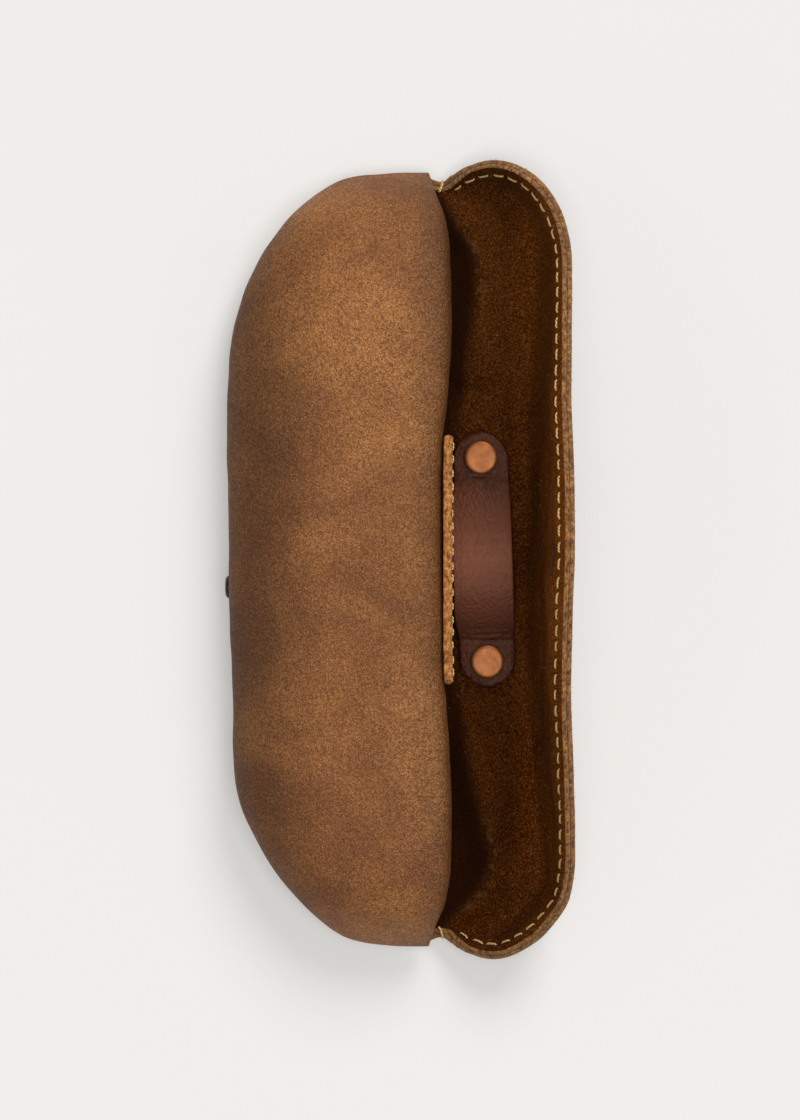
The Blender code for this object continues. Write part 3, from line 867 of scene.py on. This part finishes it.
def make_body(grain, nap, edge, dark_edge):
    """The leather and lining of the back and flap, with the slit. Returns the surface between them."""
    grid = body_grid()
    rib = lengths_along(grid[len(grid) // 2][::-1])
    column = grid.shape[1] - 1 - int(np.searchsorted(rib, SLIT_BELOW_RIM))
    middle = grid[:, column, 1]
    rows = np.flatnonzero(np.abs(middle) < SLIT_LENGTH / 2)
    slit = (slice(rows[0], rows[-1]), slice(column, column + 2))
    gap = crease_gap(grid[..., 0], grid[..., 1])
    # depth: painted shade, near black, on the suede in the valley between the lip and the crease.
    depth = ease(-gap / 2.2 + 0.35)
    near_ends = ease((12 - np.abs(np.abs(grid[..., 1]) - 66)) / 5)
    fold = np.exp(-((gap / 0.5) ** 2)) * near_ends
    # The slit's walls take the strap's near-black edge finish: painted shade, so that the slit reads as a
    # dark gap.
    skins = (nap, grain, edge, dark_edge)
    outer = leather_sheet("leather_outer", grid, skived(grid, OUTER), skins, 21, slit)
    skins = (nap, nap, edge, dark_edge)
    lining = leather_sheet("suede_lining", grid, skived(grid, LINING), skins, 22, slit)
    for name, values in (("depth", depth), ("fold", fold)):
        layer = lining.data.attributes.new(name, "FLOAT", "POINT")
        padded = np.zeros(len(lining.data.vertices), np.float32)
        padded[:2 * values.size] = np.tile(values.ravel(), 2)
        layer.data.foreach_set("value", padded)
    settle(outer, "tan_leather", "back_outer", "flap_outer")
    settle(lining, "suede", "back_lining", "flap_lining")
    return grid


def make_rim_stitches(grid, thread):
    """The seam below the rim, as it shows inside and outside the flap."""
    line, facing = below_rim(grid, SEAM_BELOW_RIM)
    use = slice(7, -7)
    line, facing = line[use], facing[use]
    for name, side, seed in (("rim_stitches_inside", 1, 31), ("rim_stitches_outside", -1, 32)):
        distance = CORE * thickness_share(SEAM_BELOW_RIM) + 0.1
        seam = line + facing * side * distance
        node = "flap_thread_" + name.rsplit("_", 1)[1]
        stitches = join_tubes(name, stitch_tubes(seam, facing * side, seed) + edge_wraps(grid, side), thread)
        settle(stitches, "thread", node)


def edge_wraps(grid, side):
    """The thread's end, taken over the rim once at each of the pocket's corners."""
    if side < 0:
        return []
    normals = grid_normals(grid)
    tubes = []
    for row in (8, len(grid) - 9):
        rim, normal = grid[row, -1], normals[row, -1]
        up = unit(grid[row, -1] - grid[row, -4])
        angle = np.linspace(-0.25 * np.pi, 1.25 * np.pi, 15)[:, None]
        reach = np.where(np.sin(angle) < 0, 0.6, 0.35)
        path = rim + normal * np.cos(angle) * (CORE * SKIVED_SHARE + 0.2) + up * np.sin(angle) * reach
        tubes.append(tube(path, THREAD_RADIUS))
    return tubes


def make_panel(grain, nap, edge):
    """The domed panel of the pocket."""
    panel = leather_sheet("pocket_panel", dome_grid(), SHEET, (nap, grain, edge), 23, fray=0.05)
    settle(panel, "tan_leather", "front_panel", body="case")


def make_patch(finish, thread):
    """The patch on the lip: a strip of thick leather with a raw, slightly wavy top edge."""
    low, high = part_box("label_patch")
    half = high.y / MM
    rows, columns = 161, 13
    y = half * np.sin(np.linspace(-1, 1, rows) * np.pi / 2)
    taper = np.clip((half - np.abs(y)) / 1.6, 0.02, 1) ** 0.5
    mouth = np.interp(np.abs(y), *np.transpose(smooth_curve(MOUTH_LINE, 160))) + LEATHER / 2
    bottom, top = low.z / MM, high.z / MM
    tall = (top - bottom + 0.06 * ripple(y[:, None], 7, 41)) * (0.65 + 0.35 * taper)
    heights = bottom + tall[:, None] * np.linspace(0, 1, columns)
    x = mouth + PATCH_OFF_LIP + 0.04 * ripple(y[:, None], 9, 42)
    plan = [np.repeat(line[:, None], columns, axis=1) for line in (x, y)]
    grid = np.stack([*plan, heights], axis=2)
    layer = (-PATCH_HALF_THICKNESS, PATCH_HALF_THICKNESS)
    patch = leather_sheet("patch", grid, layer, [finish] * 3, 24, swell=0.25, fray=0.12)
    settle(patch, "patch_leather", "label_patch", body="case")
    line = grid[6:-6, 9]
    facing = np.tile((1.0, 0.0, 0.0), (len(line), 1))
    seam = line + facing * 1.0
    stitches = stitch_tubes(seam, facing, 33, PATCH_STITCH_LENGTH, PATCH_STITCH_PITCH, PATCH_THREAD_RADIUS)
    settle(join_tubes("patch_stitches", stitches, thread), "thread", "label_thread", body="case")


def make_body_stitches(thread):
    """The seam round the pocket's closed side."""
    plan = closed_line(PLATE_INSET - 0.75, 430)[15:-15]
    line = np.column_stack([plan, np.full(len(plan), CORE)])
    out = unit(np.cross(np.gradient(line, axis=0), (0.0, 0.0, 1.0)))
    out *= np.sign((out * (line - (0, 0, CORE))).sum(-1, keepdims=True))
    stitches = stitch_tubes(line - out * 0.1, out, 34)
    settle(join_tubes("body_stitches", stitches, thread), "thread", "body_thread", body="case")


def rivet_profile(top):
    """A rivet's post and slightly rounded head, whose highest point is TOP."""
    radius = RIVET_HEAD_RADIUS
    foot = top - RIVET_POST_DEPTH
    under_head = top - RIVET_HEAD_HEIGHT
    return (
        (ON_AXIS, foot), (RIVET_POST_RADIUS, foot), (RIVET_POST_RADIUS, under_head),
        (radius - 0.3, under_head), (radius, top - 0.95), (radius, top - 0.5), (radius - 0.25, top - 0.16),
        (radius - 0.8, top - 0.04), (ON_AXIS, top),
    )


def make_strap(finish, edge, metal):
    """The strap and its two rivets, each a head with a post and a burr behind the leather."""
    skins = (edge, finish, edge)
    strap = leather_sheet("strap_leather", strap_grid(), SHEET, skins, 25, swell=0.2, fray=0.02)
    settle(strap, "dark_leather", "strap", body="flap")
    for number in (1, 2):
        low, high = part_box(f"rivet_cap_{number}")
        centre = ((low.x + high.x) / 2 / MM, (low.y + high.y) / 2 / MM, 0)
        profile = rivet_profile(high.z / MM)
        head = turned(f"rivet_head_{number}", profile, centre, [metal], 0.012, 50 + number)
        settle(head, "copper", f"rivet_cap_{number}", body="flap")
        burr = turned(f"rivet_burr_{number}", RIVET_BURR, centre, [metal], 0.02, 60 + number)
        settle(burr, "copper", f"rivet_back_{number}", body="flap")


def stud_profile(radius, length):
    """The stud's neck and head."""
    under_head = length - STUD_HEAD_HEIGHT
    return (
        (ON_AXIS, 0), (STUD_NECK_RADIUS, 0), (STUD_NECK_RADIUS, under_head), (radius - 0.15, under_head),
        (radius, length - 0.85), (radius, length - 0.6), (radius - 0.5, length - 0.14), (ON_AXIS, length),
    )


def make_stud(metal):
    """The closing stud, and its washer behind the leather."""
    low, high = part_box("stud_head")
    y, z = (low.y + high.y) / 2 / MM, (low.z + high.z) / 2 / MM
    tip, root = low.x / MM, high.x / MM
    profile = stud_profile((high.y - low.y) / 2 / MM, root - tip)
    button = turned("stud_button", profile, (root, y, z), [metal], 0.015, 71, axis="-X")
    settle(button, "stud_metal", "stud_head", body="case")
    centre = (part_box("stud_back")[1].x / MM, y, z)
    washer = turned("stud_washer", STUD_WASHER, centre, [metal], 0.015, 72, axis="-X")
    settle(washer, "stud_metal", "stud_back", body="case")


def fibre_tubes(places, facings, count, seed, longest, spread):
    """Short curved hairs standing on PLACES."""
    random = np.random.default_rng(seed)
    tubes = []
    for index in random.integers(0, len(places), count):
        facing = unit(facings[index] + random.normal(0, spread, 3))
        curl = unit(random.normal(size=3)) * random.uniform(0.1, 0.5)
        length = longest * random.uniform(0.3, 1.0)
        t = np.linspace(-0.1, 1, 5)[:, None]
        start = places[index] + random.normal(0, 0.15, 3)
        path = start + (facing * t + curl * t**2) * length
        tubes.append(tube(path, 0.035 * (1.1 - t[:, 0] * 0.6), sides=4))
    return tubes


def make_rim_fibres(grid, hair):
    """Loose fibres along the raw rim."""
    rim = grid[10:-10, -1]
    up = unit(rim - grid[10:-10, -3])
    facing = grid_normals(grid)[10:-10, -1]
    tubes = []
    for offset, seed in ((-1.0, 81), (-0.2, 82), (0.9, 83)):
        outward = up - facing * np.sign(-offset) * 0.6
        tubes += fibre_tubes(rim + facing * offset, outward, 420, seed, 0.36, 0.6)
    fuzz = join_tubes("rim_fibres", tubes, hair)
    bend_at_fold(fuzz)


def make_suede_fibres(grid, hair):
    """Loose fibres that lie on the flap's suede."""
    use = (slice(20, -20), slice(32, -4))
    facing = grid_normals(grid)[use].reshape(-1, 3)
    floor = grid[use].reshape(-1, 3) + facing * (LINING[1] + 0.03)
    lying = np.cross(facing, (0.3, 0.8, 0.2))
    keep = floor[:, 0] > HINGE[0] + 6
    specks = join_tubes("suede_fibres", fibre_tubes(floor[keep], lying[keep], 260, 84, 1.0, 0.8), hair)
    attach(specks, "flap")


# ---------------------------------------------------------------- floor, light and camera

def make_floor():
    """A wide floor just under the case."""
    mesh = bpy.data.meshes.new("floor")
    half = 4.0
    corners = [(-half, -half, 0), (half, -half, 0), (half, half, 0), (-half, half, 0)]
    mesh.from_pydata(corners, [], [(0, 1, 2, 3)])
    mesh.materials.append(pale_floor())
    floor = bpy.data.objects.new("floor", mesh)
    floor.location.z = -0.0002
    bpy.context.scene.collection.objects.link(floor)


def soft_box(name, place, size, watts):
    """A square area light that points at the case."""
    light = bpy.data.lights.new(name, "AREA")
    light.shape = "RECTANGLE"
    light.size, light.size_y = size, size
    light.energy = watts
    obj = bpy.data.objects.new(name, light)
    obj.location = place
    obj.rotation_euler = (-Vector(place)).to_track_quat("-Z", "Y").to_euler()
    bpy.context.scene.collection.objects.link(obj)


def make_light():
    """A soft sun, a large light overhead and an even glow all round."""
    world = bpy.data.worlds.new("studio")
    bpy.context.scene.world = world
    world.use_nodes = True
    background = world.node_tree.nodes["Background"]
    background.inputs["Color"].default_value = (1.0, 0.985, 0.965, 1.0)
    background.inputs["Strength"].default_value = 0.26
    soft_box("overhead", (0.25, -0.35, 2.7), 1.5, 30.0)
    sun = bpy.data.lights.new("key", "SUN")
    sun.energy = 1.7
    sun.angle = np.radians(SUN_DEGREES)
    sun.color = (1.0, 0.985, 0.96)
    key = bpy.data.objects.new("key", sun)
    key.rotation_euler = Vector(SUN_DIRECTION).to_track_quat("-Z", "Y").to_euler()
    bpy.context.scene.collection.objects.link(key)


def make_camera():
    """A long lens looking straight down."""
    camera = bpy.data.cameras.new("camera")
    camera.sensor_width = 36.0
    camera.lens = CAMERA_LENS
    camera.clip_end = 20
    obj = bpy.data.objects.new("camera", camera)
    obj.location = CAMERA_PLACE
    bpy.context.scene.collection.objects.link(obj)
    bpy.context.scene.camera = obj


def main():
    make_camera()
    make_light()
    make_floor()
    bpy.context.scene.view_settings.view_transform = "Standard"
    grain, nap, thread = grained_leather(), suede(), waxed_thread()
    edge = raw_edge("raw_leather_edge", (0.55, 0.260, 0.075), (0.30, 0.130, 0.034), (0.07, 0.024, 0.008))
    patch_edge = raw_edge("patch_raw_leather", (0.86, 0.40, 0.12), (0.54, 0.20, 0.045), (0.14, 0.045, 0.010))
    make_panel(grain, nap, edge)
    dark_edge = strap_edge()
    grid = make_body(grain, nap, edge, dark_edge)
    make_rim_stitches(grid, thread)
    hair = fibre_hair()
    make_rim_fibres(grid, hair)
    make_suede_fibres(grid, hair)
    make_patch(patch_edge, thread)
    make_body_stitches(thread)
    make_strap(strap_leather(), dark_edge, copper())
    make_stud(dark_metal())


main()
